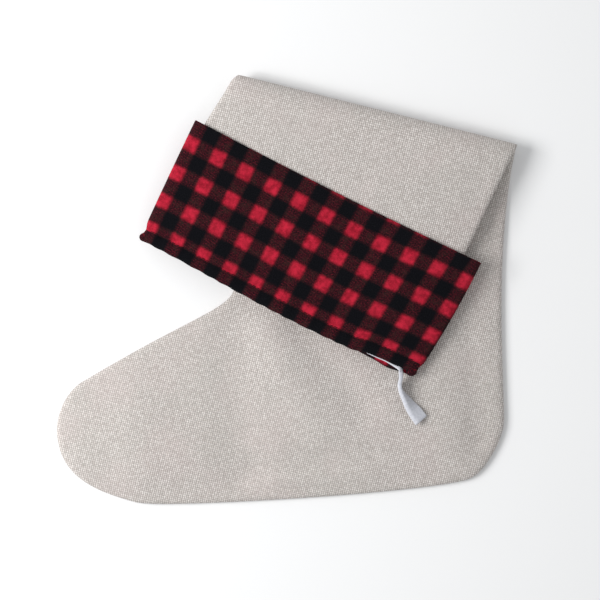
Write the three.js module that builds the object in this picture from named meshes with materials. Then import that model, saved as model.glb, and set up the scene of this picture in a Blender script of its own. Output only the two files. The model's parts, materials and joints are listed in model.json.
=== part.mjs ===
// Hanging stocking of linen with a flannel cuff, lying flat with its leg folded over the foot.
// Millimetres, +Z up. The stocking rests on Z = 0 and its box is centred over the origin.
import * as THREE from 'three';

// Layers, from the table upwards.
const CLOTH = 0.8; // one layer of linen or flannel
const GAP = 0.3; // clearance between two layers that touch
const BAG_HEIGHT = 11.2; // the foot and lower leg, outside
const MOUTH_ROOM = 4.4; // free height inside the mouth
const THREAD = 0.4; // height of a row of stitches
const THREAD_WIDTH = 0.8;
const SEAM_WIDTH = 6; // seam allowance along the edges of the panels

// Plan of the foot and lower leg, seen from above with the toe on the left.
const FOLD_LEFT = new THREE.Vector2(-31.9, 139.1);
const FOLD_RIGHT = new THREE.Vector2(149.5, 93.8);
const FOLD_SET_BACK = 0.4; // every panel ends this far from the line of the fold
const ANKLE = new THREE.Vector2(-35.2, -6.8);
const INSTEP_MIDDLE = new THREE.Vector2(-93, -37.3);
const INSTEP_END = new THREE.Vector2(-131.3, -59.2);
const TOE = new THREE.Vector2(-150.1, -91);
const SOLE_START = new THREE.Vector2(-98, -139.2);
const HEEL_START = new THREE.Vector2(119.5, -123.4);
const HEEL_END = new THREE.Vector2(141.4, -86);

// The folded part of the leg has its own axes: x along the mouth, y up the leg to the fold.
const MOUTH_CENTRE = new THREE.Vector2(-6.2, -11.4);
const MOUTH_TURN = THREE.MathUtils.degToRad(-26.5);
const MOUTH_HALF = 97; // half the width of the linen at the mouth
const MOUTH_INSET = 3.5; // the linen stops this far inside the rolled edge
const CUFF_HALF = 99.9; // half the width of the cuff at the mouth
const CUFF_DEPTH = 83; // from the rolled edge to the hem
const CUFF_FLARE_TOE = 0.018; // extra half width per millimetre up the cuff
const CUFF_FLARE_HEEL = 0.071;
const FACING_DEPTH = 28; // the cuff cloth that is turned into the mouth
const HEM_DEPTH = 6;
const TOPSTITCH_AT = 6.5; // the row of stitches, from the rolled edge
const KNOB_REACH = 2; // the side seams stand out this far past the rolled edge

// The hanging loop is one ribbon laid double.
const RIBBON_WIDTH = 10;
const RIBBON_THICKNESS = 1;
const TAIL_CLEARANCE = 0.4;
const TACK_AT = 63; // from the middle of the mouth, along it
const TACK_SIZE = 6;
const LOOP_EXIT = new THREE.Vector2(74.2, -56.2);

// Heights of the layers of the folded part.
const CUFF_LOW = BAG_HEIGHT + GAP + THREAD + GAP;
const LEG_LOW = CUFF_LOW + CLOTH + GAP;
const FACING_LOW = LEG_LOW + CLOTH + GAP;
const ROOM_LOW = FACING_LOW + CLOTH;
const STACK_MIDDLE = ROOM_LOW + MOUTH_ROOM / 2;

const COLOURS = {
  linen: { color: 0xccc4bd, roughness: 0.95 },
  seam: { color: 0xbcb3aa, roughness: 0.95 },
  flannel: { color: 0x7a1626, roughness: 0.98 },
  thread: { color: 0x1a1c20, roughness: 0.7 },
  ribbon: { color: 0xe6e6ea, roughness: 0.5 },
};

function piece(name, geometry, finish) {
  const material = new THREE.MeshStandardMaterial({ ...COLOURS[finish], metalness: 0 });
  const mesh = new THREE.Mesh(geometry, material);
  mesh.name = name;
  return mesh;
}

// A flat layer between two heights, with the given plan.
function layer(outline, low, high) {
  const options = { depth: high - low, bevelEnabled: false };
  const geometry = new THREE.ExtrudeGeometry(new THREE.Shape(outline), options);
  geometry.translate(0, 0, low);
  return geometry;
}

// A solid with the given section in the y-z plane and the given ends in x.
function crossLayer(section, left, right) {
  const options = { depth: right - left, bevelEnabled: false };
  const geometry = new THREE.ExtrudeGeometry(new THREE.Shape(section), options);
  // The section's x and y become y and z, and the depth becomes x.
  const turn = new THREE.Matrix4().set(0, 0, 1, left, 1, 0, 0, 0, 0, 1, 0, 0, 0, 0, 0, 1);
  geometry.applyMatrix4(turn);
  return geometry;
}

// Moves each point of an open edge sideways, to its left.
function offset(points, distance) {
  return points.map((point, index) => {
    const before = points[Math.max(index - 1, 0)];
    const after = points[Math.min(index + 1, points.length - 1)];
    const along = after.clone().sub(before).normalize();
    return new THREE.Vector2(point.x - along.y * distance, point.y + along.x * distance);
  });
}

function bezier(path, firstControl, secondControl, end) {
  path.bezierCurveTo(...firstControl, ...secondControl, end.x, end.y);
}

// The two ends of a panel's edge along the fold, set back from the fold itself.
function foldEnds() {
  const along = FOLD_RIGHT.clone().sub(FOLD_LEFT).normalize();
  const inward = new THREE.Vector2(along.y, -along.x).multiplyScalar(FOLD_SET_BACK);
  return [FOLD_LEFT.clone().add(inward), FOLD_RIGHT.clone().add(inward)];
}

// Pulls back the points of a plan that would pass the edge along the fold, given by its two ends.
function clipFold(points, [left, right]) {
  const slope = (right.y - left.y) / (right.x - left.x);
  return points.map((point) => {
    const limit = left.y + slope * (point.x - left.x);
    return new THREE.Vector2(point.x, Math.min(point.y, limit));
  });
}

// The edge of the foot and lower leg: from the fold down the shin, round the toe and the heel,
// and up the back of the leg to the fold.
function lowerEdge() {
  const [left, right] = foldEnds();
  const path = new THREE.Path();
  path.moveTo(left.x, left.y);
  path.lineTo(ANKLE.x + 1, ANKLE.y + 8);
  path.quadraticCurveTo(ANKLE.x, ANKLE.y, ANKLE.x - 17, ANKLE.y - 9);
  path.lineTo(INSTEP_MIDDLE.x, INSTEP_MIDDLE.y);
  path.lineTo(INSTEP_END.x, INSTEP_END.y);
  bezier(path, [-146, -66.4], [TOE.x, -84.5], TOE);
  bezier(path, [TOE.x, -123], [-124, -132.3], SOLE_START);
  bezier(path, [-83, -143.2], [95, -133], HEEL_START);
  bezier(path, [129.5, -119.4], [HEEL_END.x, -97], HEEL_END);
  bezier(path, [HEEL_END.x, -50], [134.5, 25], right);
  return path.getPoints(10);
}

function lowerPart() {
  const edge = lowerEdge();
  const top = BAG_HEIGHT - CLOTH;
  const band = clipFold([...edge, ...offset(edge, SEAM_WIDTH).reverse()], foldEnds());
  const group = new THREE.Group();
  group.add(piece('foot_back_panel', layer(edge, 0, CLOTH), 'linen'));
  group.add(piece('foot_front_panel', layer(edge, top, BAG_HEIGHT), 'linen'));
  group.add(piece('foot_side_seam', layer(band, CLOTH + GAP, top - GAP), 'seam'));
  return group;
}

// Where a point of the plan lies in the axes of the folded part.
function inUpper(point) {
  return point.clone().sub(MOUTH_CENTRE).rotateAround(new THREE.Vector2(), -MOUTH_TURN);
}

// The two side edges of the folded linen, each from the mouth to the fold.
function upperEdges() {
  const [left, right] = foldEnds().map(inUpper);
  const toeSide = new THREE.Path();
  toeSide.moveTo(-MOUTH_HALF, MOUTH_INSET);
  toeSide.quadraticCurveTo(-MOUTH_HALF - 0.5, 85, left.x, left.y);
  const heelSide = new THREE.Path();
  heelSide.moveTo(MOUTH_HALF, MOUTH_INSET);
  heelSide.quadraticCurveTo(MOUTH_HALF - 4.5, 95, right.x, right.y);
  return { toeSide: toeSide.getPoints(10), heelSide: heelSide.getPoints(10) };
}

// Turns a height above the middle of the folded part into the same height below it.
function mirrored(height) {
  return 2 * STACK_MIDDLE - height;
}

function foldedPanels() {
  const { toeSide, heelSide } = upperEdges();
  const outline = [...heelSide, ...toeSide.slice().reverse()];
  const group = new THREE.Group();
  group.add(piece('leg_front_panel', layer(outline, LEG_LOW, LEG_LOW + CLOTH), 'linen'));
  const backLow = mirrored(LEG_LOW + CLOTH);
  group.add(piece('leg_back_panel', layer(outline, backLow, backLow + CLOTH), 'linen'));

  // The seam allowances lie between the panels, above the facing of the cuff.
  const low = LEG_LOW + CLOTH + GAP;
  const high = mirrored(low);
  const fold = foldEnds().map(inUpper);
  const aboveFacing = (point) => point.y > FACING_DEPTH + GAP;
  const toeEdge = toeSide.filter(aboveFacing);
  const toeBand = clipFold([...toeEdge, ...offset(toeEdge, -SEAM_WIDTH).reverse()], fold);
  group.add(piece('leg_toe_side_seam', layer(toeBand, low, high), 'seam'));
  const heelEdge = heelSide.filter(aboveFacing);
  const heelBand = clipFold([...heelEdge, ...offset(heelEdge, SEAM_WIDTH).reverse()], fold);
  group.add(piece('leg_heel_side_seam', layer(heelBand, low, high), 'seam'));
  return group;
}

// The section of half the cuff: the hem, the outer layer, the roll over the mouth and the facing.
// Heights go outwards from the middle of the stack; side is 1 for the back and -1 for the front.
function cuffSection(side) {
  const outer = STACK_MIDDLE - CUFF_LOW;
  const inner = STACK_MIDDLE - ROOM_LOW;
  const radius = (outer - inner) / 2;
  const middle = (outer + inner) / 2;
  const points = [];
  const hemThickness = CLOTH * 1.6;
  points.push([CUFF_DEPTH, outer - CLOTH]);
  points.push([CUFF_DEPTH, outer - CLOTH + hemThickness]);
  points.push([CUFF_DEPTH - HEM_DEPTH, outer - CLOTH + hemThickness]);
  points.push([CUFF_DEPTH - HEM_DEPTH, outer]);
  const steps = 8;
  for (let step = 0; step <= steps; step += 1) {
    const angle = Math.PI / 2 + (Math.PI * step) / steps;
    points.push([radius + radius * Math.cos(angle), middle + radius * Math.sin(angle)]);
  }
  points.push([FACING_DEPTH, inner]);
  points.push([FACING_DEPTH, inner + CLOTH]);
  for (let step = steps; step >= 0; step -= 1) {
    const angle = Math.PI / 2 + (Math.PI * step) / steps;
    const hollow = radius - CLOTH;
    points.push([radius + hollow * Math.cos(angle), middle + hollow * Math.sin(angle)]);
  }
  return points.map(([y, height]) => new THREE.Vector2(y, STACK_MIDDLE + side * height));
}

// Widens a piece of the cuff towards its hem.
function flare(geometry) {
  const position = geometry.attributes.position;
  for (let index = 0; index < position.count; index += 1) {
    const x = position.getX(index);
    const rate = x > 0 ? CUFF_FLARE_HEEL : CUFF_FLARE_TOE;
    const rise = Math.max(position.getY(index), 0);
    position.setX(index, x + (rate * rise * x) / CUFF_HALF);
  }
  return geometry;
}

// The side of the cuff fills the height between its two halves, and is lower between the facings.
function cuffSideSection() {
  const wide = STACK_MIDDLE - LEG_LOW;
  const narrow = STACK_MIDDLE - ROOM_LOW - GAP;
  const points = [[-KNOB_REACH / 2, -narrow], [FACING_DEPTH + GAP, -narrow], [FACING_DEPTH + GAP, -wide]];
  points.push([CUFF_DEPTH, -wide], [CUFF_DEPTH, wide], [FACING_DEPTH + GAP, wide]);
  points.push([FACING_DEPTH + GAP, narrow], [-KNOB_REACH / 2, narrow], [-KNOB_REACH, 0]);
  return points.map(([y, height]) => new THREE.Vector2(y, STACK_MIDDLE + height));
}

function cuff() {
  const group = new THREE.Group();
  const back = crossLayer(cuffSection(1), -CUFF_HALF, CUFF_HALF);
  const front = crossLayer(cuffSection(-1).reverse(), -CUFF_HALF, CUFF_HALF);
  const sideIn = MOUTH_HALF + 2 * GAP;
  const toeSide = crossLayer(cuffSideSection(), -CUFF_HALF, -sideIn);
  const heelSide = crossLayer(cuffSideSection(), sideIn, CUFF_HALF);
  group.add(piece('cuff_back', flare(back), 'flannel'));
  group.add(piece('cuff_front', flare(front), 'flannel'));
  group.add(piece('cuff_toe_side_seam', flare(toeSide), 'flannel'));
  group.add(piece('cuff_heel_side_seam', flare(heelSide), 'flannel'));
  return group;
}

function topstitch(name, low) {
  const length = 2 * (MOUTH_HALF - SEAM_WIDTH);
  const row = new THREE.BoxGeometry(length, THREAD_WIDTH, THREAD);
  row.translate(0, TOPSTITCH_AT, low + THREAD / 2);
  return piece(name, row, 'thread');
}

// The ribbon inside the mouth lies flat along the rolled edge, sewn down at its far end.
function sewnRibbon() {
  const group = new THREE.Group();
  const exit = inUpper(LOOP_EXIT);
  const low = STACK_MIDDLE - RIBBON_THICKNESS / 2;
  const length = exit.x - 1 - TACK_AT;
  const strip = new THREE.BoxGeometry(length, RIBBON_WIDTH, RIBBON_THICKNESS);
  strip.translate(TACK_AT + length / 2, exit.y + RIBBON_WIDTH / 2 + 1, STACK_MIDDLE);
  group.add(piece('loop_sewn_end', strip, 'ribbon'));
  const tackHeight = low - GAP - ROOM_LOW - GAP;
  const tack = new THREE.BoxGeometry(TACK_SIZE, TACK_SIZE, tackHeight);
  tack.translate(TACK_AT + TACK_SIZE / 2, TACK_SIZE / 2 + 1, low - GAP - tackHeight / 2);
  group.add(piece('loop_bar_tack', tack, 'thread'));
  return group;
}

// The free tail of the loop: each station is x, y and the lean of the ribbon from upright.
function tailStations() {
  return [
    [LOOP_EXIT.x, LOOP_EXIT.y, 15],
    [73.2, -63.5, 17],
    [74.4, -72.2, 28],
    [78.7, -80, 48],
    [85.2, -86.5, 68],
  ];
}

// A band of rectangular sections along the stations, closed at both ends.
function looseTail() {
  const stations = tailStations();
  const vertices = [];
  stations.forEach(([x, y, lean], index) => {
    const before = stations[Math.max(index - 1, 0)];
    const after = stations[Math.min(index + 1, stations.length - 1)];
    const along = new THREE.Vector3(after[0] - before[0], after[1] - before[1], 0).normalize();
    const tilt = THREE.MathUtils.degToRad(lean);
    const side = new THREE.Vector3(along.y, -along.x, 0);
    const across = side.clone().multiplyScalar(-Math.sin(tilt)).setZ(Math.cos(tilt));
    const normal = new THREE.Vector3().crossVectors(along, across).normalize();
    const halfHeight = (RIBBON_WIDTH * Math.cos(tilt) + RIBBON_THICKNESS * Math.sin(tilt)) / 2;
    const centre = new THREE.Vector3(x, y, BAG_HEIGHT + TAIL_CLEARANCE + halfHeight);
    [[1, 1], [-1, 1], [-1, -1], [1, -1]].forEach(([wide, thick]) => {
      const corner = centre.clone().addScaledVector(across, (wide * RIBBON_WIDTH) / 2);
      corner.addScaledVector(normal, (thick * RIBBON_THICKNESS) / 2);
      vertices.push(corner.x, corner.y, corner.z);
    });
  });
  return closedBand(vertices, stations.length);
}

function closedBand(vertices, sections) {
  const faces = [0, 2, 1, 0, 3, 2];
  for (let section = 0; section < sections - 1; section += 1) {
    for (let side = 0; side < 4; side += 1) {
      const near = section * 4 + side;
      const next = section * 4 + ((side + 1) % 4);
      faces.push(near, next + 4, near + 4, near, next, next + 4);
    }
  }
  const end = (sections - 1) * 4;
  faces.push(end, end + 1, end + 2, end, end + 2, end + 3);
  const geometry = new THREE.BufferGeometry();
  geometry.setAttribute('position', new THREE.Float32BufferAttribute(vertices, 3));
  geometry.setIndex(faces);
  geometry.computeVertexNormals();
  return geometry;
}

function foldedPart() {
  const group = new THREE.Group();
  group.position.set(MOUTH_CENTRE.x, MOUTH_CENTRE.y, 0);
  group.rotation.z = MOUTH_TURN;
  group.add(foldedPanels(), cuff(), sewnRibbon());
  group.add(topstitch('mouth_topstitch_front', CUFF_LOW - GAP - THREAD));
  group.add(topstitch('mouth_topstitch_back', mirrored(CUFF_LOW) + GAP));
  return group;
}

const stocking = new THREE.Group();
stocking.add(lowerPart(), foldedPart(), piece('hanging_loop', looseTail(), 'ribbon'));

// The box of the whole stocking is centred over the origin.
const box = new THREE.Box3().setFromObject(stocking, true);
const centre = box.getCenter(new THREE.Vector3());
stocking.position.set(-centre.x, -centre.y, -box.min.z);

export default stocking;
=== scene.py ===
"""The looks of a hanging stocking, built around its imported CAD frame. Metres, +Z up."""
import json
import math

import bmesh
import bpy
import numpy as np
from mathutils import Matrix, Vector
from mathutils.geometry import delaunay_2d_cdt


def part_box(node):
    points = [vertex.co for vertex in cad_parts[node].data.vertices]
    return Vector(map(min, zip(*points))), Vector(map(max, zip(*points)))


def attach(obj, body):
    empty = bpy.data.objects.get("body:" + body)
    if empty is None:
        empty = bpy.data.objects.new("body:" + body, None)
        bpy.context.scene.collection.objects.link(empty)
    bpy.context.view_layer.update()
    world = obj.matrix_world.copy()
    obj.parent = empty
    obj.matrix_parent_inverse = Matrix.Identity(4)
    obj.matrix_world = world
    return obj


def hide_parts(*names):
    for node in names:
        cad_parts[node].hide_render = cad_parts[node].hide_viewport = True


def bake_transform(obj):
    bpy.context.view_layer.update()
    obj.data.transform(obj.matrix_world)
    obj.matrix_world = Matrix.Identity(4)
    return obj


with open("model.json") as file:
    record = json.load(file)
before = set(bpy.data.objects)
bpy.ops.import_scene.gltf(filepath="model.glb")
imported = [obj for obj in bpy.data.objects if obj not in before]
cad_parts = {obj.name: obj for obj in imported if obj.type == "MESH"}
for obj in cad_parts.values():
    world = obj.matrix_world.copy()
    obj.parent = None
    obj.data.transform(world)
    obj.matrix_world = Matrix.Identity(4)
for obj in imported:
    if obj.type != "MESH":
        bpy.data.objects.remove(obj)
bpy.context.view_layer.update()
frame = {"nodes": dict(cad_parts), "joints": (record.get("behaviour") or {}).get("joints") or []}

MM = 0.001

# ---------------------------------------------------------------- driving dimensions

# How thick the cloth is.
LINEN = 0.7 * MM
FLANNEL = 0.8 * MM

# The foot and lower leg, a flat bag on the table: the heights of its seam, of its under side and
# of its upper side at the edge, and how much, over what distance, and up to where that side rises.
LOWER_SEAM_Z = 2.4 * MM
LOWER_BACK_Z = 0.1 * MM
LOWER_EDGE_Z = 4.5 * MM
LOWER_CROWN = 5.0 * MM
LOWER_CROWN_REACH = 52 * MM
LOWER_TOP_LIMIT = 10.9 * MM

# The folded leg, a thinner bag on top of it: the same, and the radius of both bags' edges.
UPPER_SEAM_Z = 14.9 * MM
UPPER_FRONT_Z = 12.9 * MM
UPPER_EDGE_Z = 16.9 * MM
UPPER_CROWN = 2.7 * MM
UPPER_CROWN_REACH = 42 * MM
EDGE_ROUND = 2.8 * MM

# How far in from the edge the soft folds of each bag reach their full height.
LOWER_RELIEF_REACH = 14 * MM
UPPER_RELIEF_REACH = 12 * MM

# The fold: how far in it starts to roll, how far its inner layers stay behind the outer one, and the cloth
# that the outer layer's roll takes up.
FOLD_ROLL = 14 * MM
SEAM_TIP = 0.6 * MM
FRONT_TIP = 1.2 * MM
FOLD_TAKE_UP = 5 * MM

# The seam allowances: from and to how far inside the sewn edge, and the thickness of a ply.
ALLOWANCE_FROM = 1.2 * MM
ALLOWANCE_TO = 7 * MM
ALLOWANCE_PLY = 0.35 * MM

# The cuff, in the axes of the mouth: x along it towards the heel side, y up the leg. SEAM_TUCK is
# the cloth that its stitched seam takes up.
MOUTH_TURN = math.radians(-26.5)
TOPSTITCH_AT = 6.5 * MM
ROLL_HEIGHT = 7.7 * MM
SEAM_TUCK = 4.4 * MM
CUFF_HALF = 99.9 * MM
CUFF_DEPTH = 83 * MM
CUFF_FLARE_TOE = 0.024
CUFF_FLARE_HEEL = 0.064
FACING_DEPTH = 28 * MM

# Its check: the repeat, the middle of a red column and of a red row, the level on the stripes'
# cosine where red begins (above 0, so red stripes are the narrower), its lean, its spread a metre.
CHECK = 20 * MM
CHECK_RED_COLUMN = 2.9 * MM
CHECK_RED_ROW = 14.7 * MM
RED_LEVEL = 0.14
CHECK_LEAN = 0.040
CHECK_SPREAD = 0.6

# The ribbon: the part of its width on the narrow side of its lengthwise crease, how far from the
# crease it folds back where it is gathered, and the length of the arrows that steer its curve.
RIBBON_WIDTH = 10 * MM
RIBBON_PLY = 0.3 * MM
RIBBON_NARROW = 2.3 * MM
GATHER_FOLD = 4.4 * MM
ARROW = 8 * MM

# ---------------------------------------------------------------- camera


def make_camera():
    """A long lens straight above the stocking, with the top of the picture towards +Y."""
    aim = Vector((8.8 * MM, -6.5 * MM, 8 * MM))
    height = 1.6
    field = 390 * MM
    data = bpy.data.cameras.new("camera")
    data.sensor_width = 36
    data.lens = data.sensor_width * height / field
    camera = bpy.data.objects.new("camera", data)
    camera.location = aim + Vector((0, 0, height))
    bpy.context.scene.collection.objects.link(camera)
    bpy.context.scene.camera = camera


# ---------------------------------------------------------------- plan of the panels


def joint(name):
    """What the frame says of a joint."""
    return next(j for j in frame["joints"] if j["name"] == name)


HINGE = np.array(joint("leg_fold")["pos_m"])
HINGE_AXIS = np.array(joint("leg_fold")["axis"][:2])
ALONG = -HINGE_AXIS / np.linalg.norm(HINGE_AXIS)
OUTWARD = np.array([-ALONG[1], ALONG[0]])
FOLD_Z = HINGE[2]


def outline_of(node):
    """The plan of a flat CAD layer: the points round its lower face, in order."""
    touching, level = 0.001 * MM, 0.01 * MM
    mesh = bmesh.new()
    mesh.from_mesh(frame["nodes"][node].data)
    bmesh.ops.remove_doubles(mesh, verts=mesh.verts, dist=touching)
    low = min(v.co.z for v in mesh.verts)
    under = {f for f in mesh.faces if all(v.co.z < low + level for v in f.verts)}
    rim = [e for e in mesh.edges if sum(f in under for f in e.link_faces) == 1]
    following = {}
    for edge in rim:
        a, b = edge.verts
        following.setdefault(a, []).append(b)
        following.setdefault(b, []).append(a)
    start = rim[0].verts[0]
    loop, previous, here = [start], start, following[start][0]
    while here is not start:
        loop.append(here)
        step = following[here]
        previous, here = here, step[0] if step[1] is previous else step[1]
    points = np.array([v.co[:2] for v in loop])
    mesh.free()
    return points


def to_pattern(points, side):
    """Plan points as (place along the fold, distance past it): below it negative, above positive."""
    rel = points - HINGE[:2]
    return np.column_stack([rel @ ALONG, -side * (rel @ OUTWARD)])


def to_world(p, u):
    """Places in the plan, from how far they are along the fold and outward of it."""
    return HINGE[:2] + p[:, None] * ALONG + u[:, None] * OUTWARD


def open_at_fold(loop):
    """Cuts a closed loop of pattern points at its edge along the fold."""
    near = np.abs(loop[:, 1]) < 0.6 * MM
    cut = next(i for i in range(len(loop)) if near[i] and near[(i + 1) % len(loop)])
    return np.roll(loop, -(cut + 1), axis=0)


def smooth_run(points, spacing):
    """A smooth curve through the points, as points a given distance apart."""
    steps = np.linalg.norm(np.diff(points, axis=0), axis=1)
    at = np.concatenate([[0], np.cumsum(steps)])
    slope = np.diff(points, axis=0) / steps[:, None]
    tangent = np.vstack([slope[:1], slope, slope[-1:]])
    before = np.concatenate([steps[:1], steps])[:, None]
    after = np.concatenate([steps, steps[-1:]])[:, None]
    tangent = (tangent[:-1] * after + tangent[1:] * before) / (before + after)
    fine = np.linspace(0, at[-1], max(2, int(round(at[-1] / spacing)) + 1))
    i = np.clip(np.searchsorted(at, fine, side="right") - 1, 0, len(steps) - 1)
    h = steps[i][:, None]
    t = ((fine - at[i]) / steps[i])[:, None]
    return (
        points[i] * (2 * t**3 - 3 * t**2 + 1)
        + tangent[i] * h * (t**3 - 2 * t**2 + t)
        + points[i + 1] * (3 * t**2 - 2 * t**3)
        + tangent[i + 1] * h * (t**3 - t**2)
    )


def thin_out(points):
    """Keeps points about 2 mm apart, and closer round the fold."""
    wide, close, near_fold = 2 * MM, 0.8 * MM, 7 * MM
    kept = [points[0]]
    for point in points[1:-1]:
        room = close if abs(point[1]) < near_fold else wide
        if np.linalg.norm(point - kept[-1]) >= room:
            kept.append(point)
    return np.array(kept + [points[-1]])


def distance_to(points, line):
    """How far each point is from a line of straight pieces."""
    a, b = line[:-1], line[1:]
    ab = b - a
    square = (ab**2).sum(1)
    nearest = np.empty(len(points))
    batch = 2000
    for start in range(0, len(points), batch):
        part = points[start:start + batch, None, :]
        t = np.clip(((part - a) * ab).sum(2) / square, 0, 1)
        gap = np.linalg.norm(part - a - t[..., None] * ab, axis=2)
        nearest[start:start + batch] = gap.min(1)
    return nearest


def inset(points, distance):
    """Points moved to the left of an open line's direction."""
    direction = np.gradient(points, axis=0)
    direction /= np.linalg.norm(direction, axis=1)[:, None]
    return points + distance * np.column_stack([-direction[:, 1], direction[:, 0]])


def sewn_edge():
    """The sewn edge of the whole cut, from one corner of the mouth round the foot to the other."""
    lower = open_at_fold(to_pattern(outline_of("foot_back_panel"), -1))
    upper = open_at_fold(to_pattern(outline_of("leg_back_panel"), 1))
    if lower[0, 0] > lower[-1, 0]:
        lower = lower[::-1]
    if upper[0, 0] < upper[-1, 0]:
        upper = upper[::-1]
    up_leg = (to_world(upper[:, 0], -upper[:, 1]) - MOUTH[0]) @ MOUTH[2]
    corner_right, corner_left = sorted(np.argsort(up_leg)[:2])
    edge = np.vstack([upper[corner_left:], lower, upper[:corner_right + 1]])
    return thin_out(smooth_run(edge, 0.4 * MM))


def points_inside(sewn, outline):
    """Places inside the cut: rings along the sewn edge, then rows, which are closer at the fold."""
    rings = []
    for distance in (0.5 * MM, 1.2 * MM, 2.2 * MM, 3.8 * MM):
        ring = inset(sewn, distance)
        rings.append(ring[distance_to(ring, sewn) > 0.93 * distance])
    low, high = outline.min(0), outline.max(0)
    past_rings, past_outline = 5.2 * MM, 0.4 * MM
    pitch, row_pitch = 2.5 * MM, 0.87 * 2.5 * MM
    flat = np.arange(low[1], high[1], row_pitch)
    flat = flat[np.abs(flat) > FOLD_ROLL]
    close = np.array([0, 0.35, 0.8, 1.4, 2.2, 3.3, 4.8, 6.6, 8.6, 10.8, 13.1]) * MM
    rows = []
    for index, s in enumerate(np.concatenate([flat, close, -close[1:]])):
        p = np.arange(low[0] + (index % 2) * pitch / 2, high[0], pitch)
        rows.append(np.column_stack([p, np.full(len(p), s)]))
    grid = np.vstack(rows)
    grid = grid[distance_to(grid, sewn) > past_rings]
    inside = np.vstack([*rings, grid])
    closed = np.vstack([outline, outline[:1]])
    return inside[distance_to(inside, closed) > past_outline]


def make_pattern():
    """The whole cut of a panel, unfolded: its sewn edge, outline, points and triangles."""
    sewn = sewn_edge()
    mouth = np.linspace(sewn[-1], sewn[0], 90)[1:-1]
    outline = np.vstack([sewn, mouth])
    points = [Vector(point) for point in np.vstack([outline, points_inside(sewn, outline)])]
    border = list(range(len(outline)))
    only_inside, tolerance = 1, 1e-8
    made = delaunay_2d_cdt(points, [], [border], only_inside, tolerance)
    corners = np.array([tuple(f) for f in made[2]])
    used, renamed = np.unique(corners, return_inverse=True)
    triangles = [tuple(map(int, three)) for three in renamed.reshape(-1, 3)]
    return sewn, outline, np.array([made[0][i][:] for i in used]), triangles


# ---------------------------------------------------------------- heights of the cloth


def smoothstep(x):
    """0 up to 0 and 1 from 1 on, with a smooth step between."""
    x = np.clip(x, 0, 1)
    return x * x * (3 - 2 * x)


def crown(distance, reach):
    """0 at an edge, rising to 1 at the given distance from it."""
    x = np.clip(distance / reach, 0, 1)
    return 1 - (1 - x) ** 2


def soft_limit(height, limit):
    """Bends a height smoothly so that it stays under the limit."""
    soft = 0.5 * MM
    return limit - soft * np.log1p(np.exp((limit - height) / soft))


def rounding(distance, radius=EDGE_ROUND):
    """A quarter circle: 0 at an edge, 1 from the radius inwards."""
    return np.sqrt(1 - (1 - np.clip(distance / radius, 0, 1)) ** 2)


def crease(points, start, end, width, height):
    """A soft ridge, or with a negative height a valley, between two points of the plan."""
    start, end = np.array(start) * MM, np.array(end) * MM
    line = end - start
    t = np.clip(((points - start) @ line) / (line @ line), 0, 1)
    gap = np.linalg.norm(points - start - t[:, None] * line, axis=1)
    return height * MM * np.exp(-((gap / (width * MM)) ** 2))


def ripple(points, length, angle, phase):
    """A faint wave across the cloth."""
    a = math.radians(angle)
    return np.sin((points @ np.array([math.cos(a), math.sin(a)])) * math.tau / (length * MM) + phase)


# Soft folds of the foot, in millimetres of the plan: start, end, width, height.
FOOT_FOLDS = [
    ((-14, -26), (22, -92), 12, 1.8),
    ((10, -26), (50, -76), 11, -1.7),
    ((-34, -34), (-28, -120), 18, -2.5),
    ((-100, -72), (-98, -118), 20, 1.5),
    ((-88, -66), (-44, -52), 24, -1.1),
    ((-112, -84), (-118, -108), 13, -0.5),
    ((-20, -112), (54, -108), 8, -1.2),
    ((-20, -127), (54, -123), 6, 0.8),
    ((66, -78), (104, -96), 15, 0.9),
    ((118, -30), (126, -100), 9, -1.2),
    ((128, 58), (140, 24), 6, -0.8),
    ((126, 42), (144, 43), 4, -1.1),
]


def foot_relief(plan):
    """The soft folds of the foot, with faint waves over them."""
    total = sum(crease(plan, *fold) for fold in FOOT_FOLDS)
    total += 0.22 * MM * ripple(plan, 61, 20, 0.4)
    total += 0.16 * MM * ripple(plan, 37, 105, 1.9) * ripple(plan, 83, 10, 0.7)
    total += 0.07 * MM * ripple(plan, 17, 64, 2.6) * ripple(plan, 29, -30, 0.2)
    return total


def leg_relief(plan):
    """Faint waves on the back of the folded leg."""
    total = 0.22 * MM * ripple(plan, 74, 62, 0.8)
    total += 0.12 * MM * ripple(plan, 33, -35, 2.1) * ripple(plan, 51, 40, 0.3)
    total += 0.06 * MM * ripple(plan, 15, 12, 1.3) * ripple(plan, 23, 96, 0.9)
    return total


def leg_back_height(distance):
    """The height of the folded leg's upper layer, at a distance from its sewn edge."""
    return UPPER_EDGE_Z + UPPER_CROWN * crown(distance, UPPER_CROWN_REACH)


# ---------------------------------------------------------------- meshes


def make_object(name, points, faces, pattern, material):
    """A smooth-shaded mesh with its flat cut, in metres, as its texture coordinates."""
    mesh = bpy.data.meshes.new(name)
    mesh.from_pydata([tuple(p) for p in points], [], faces)
    layer = mesh.uv_layers.new(name="cut")
    index = np.zeros(len(mesh.loops), np.int32)
    mesh.loops.foreach_get("vertex_index", index)
    layer.data.foreach_set("uv", np.asarray(pattern, np.float32)[index].ravel())
    mesh.polygons.foreach_set("use_smooth", [True] * len(mesh.polygons))
    mesh.materials.append(material)
    mesh.update()
    thing = bpy.data.objects.new(name, mesh)
    bpy.context.scene.collection.objects.link(thing)
    return thing


def thicken(thing, thickness, offset=-1.0):
    """Gives a sheet its thickness: inwards, or on both sides with an offset of 0."""
    solid = thing.modifiers.new("thickness", "SOLIDIFY")
    solid.thickness = thickness
    solid.offset = offset
    solid.use_rim = True


def grid_faces(rows, columns):
    """Quads of a grid whose points run row by row."""
    faces = []
    for row in range(rows - 1):
        for column in range(columns - 1):
            a = row * columns + column
            b = a + columns
            faces.append((a, a + 1, b + 1, b))
    return faces


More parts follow.
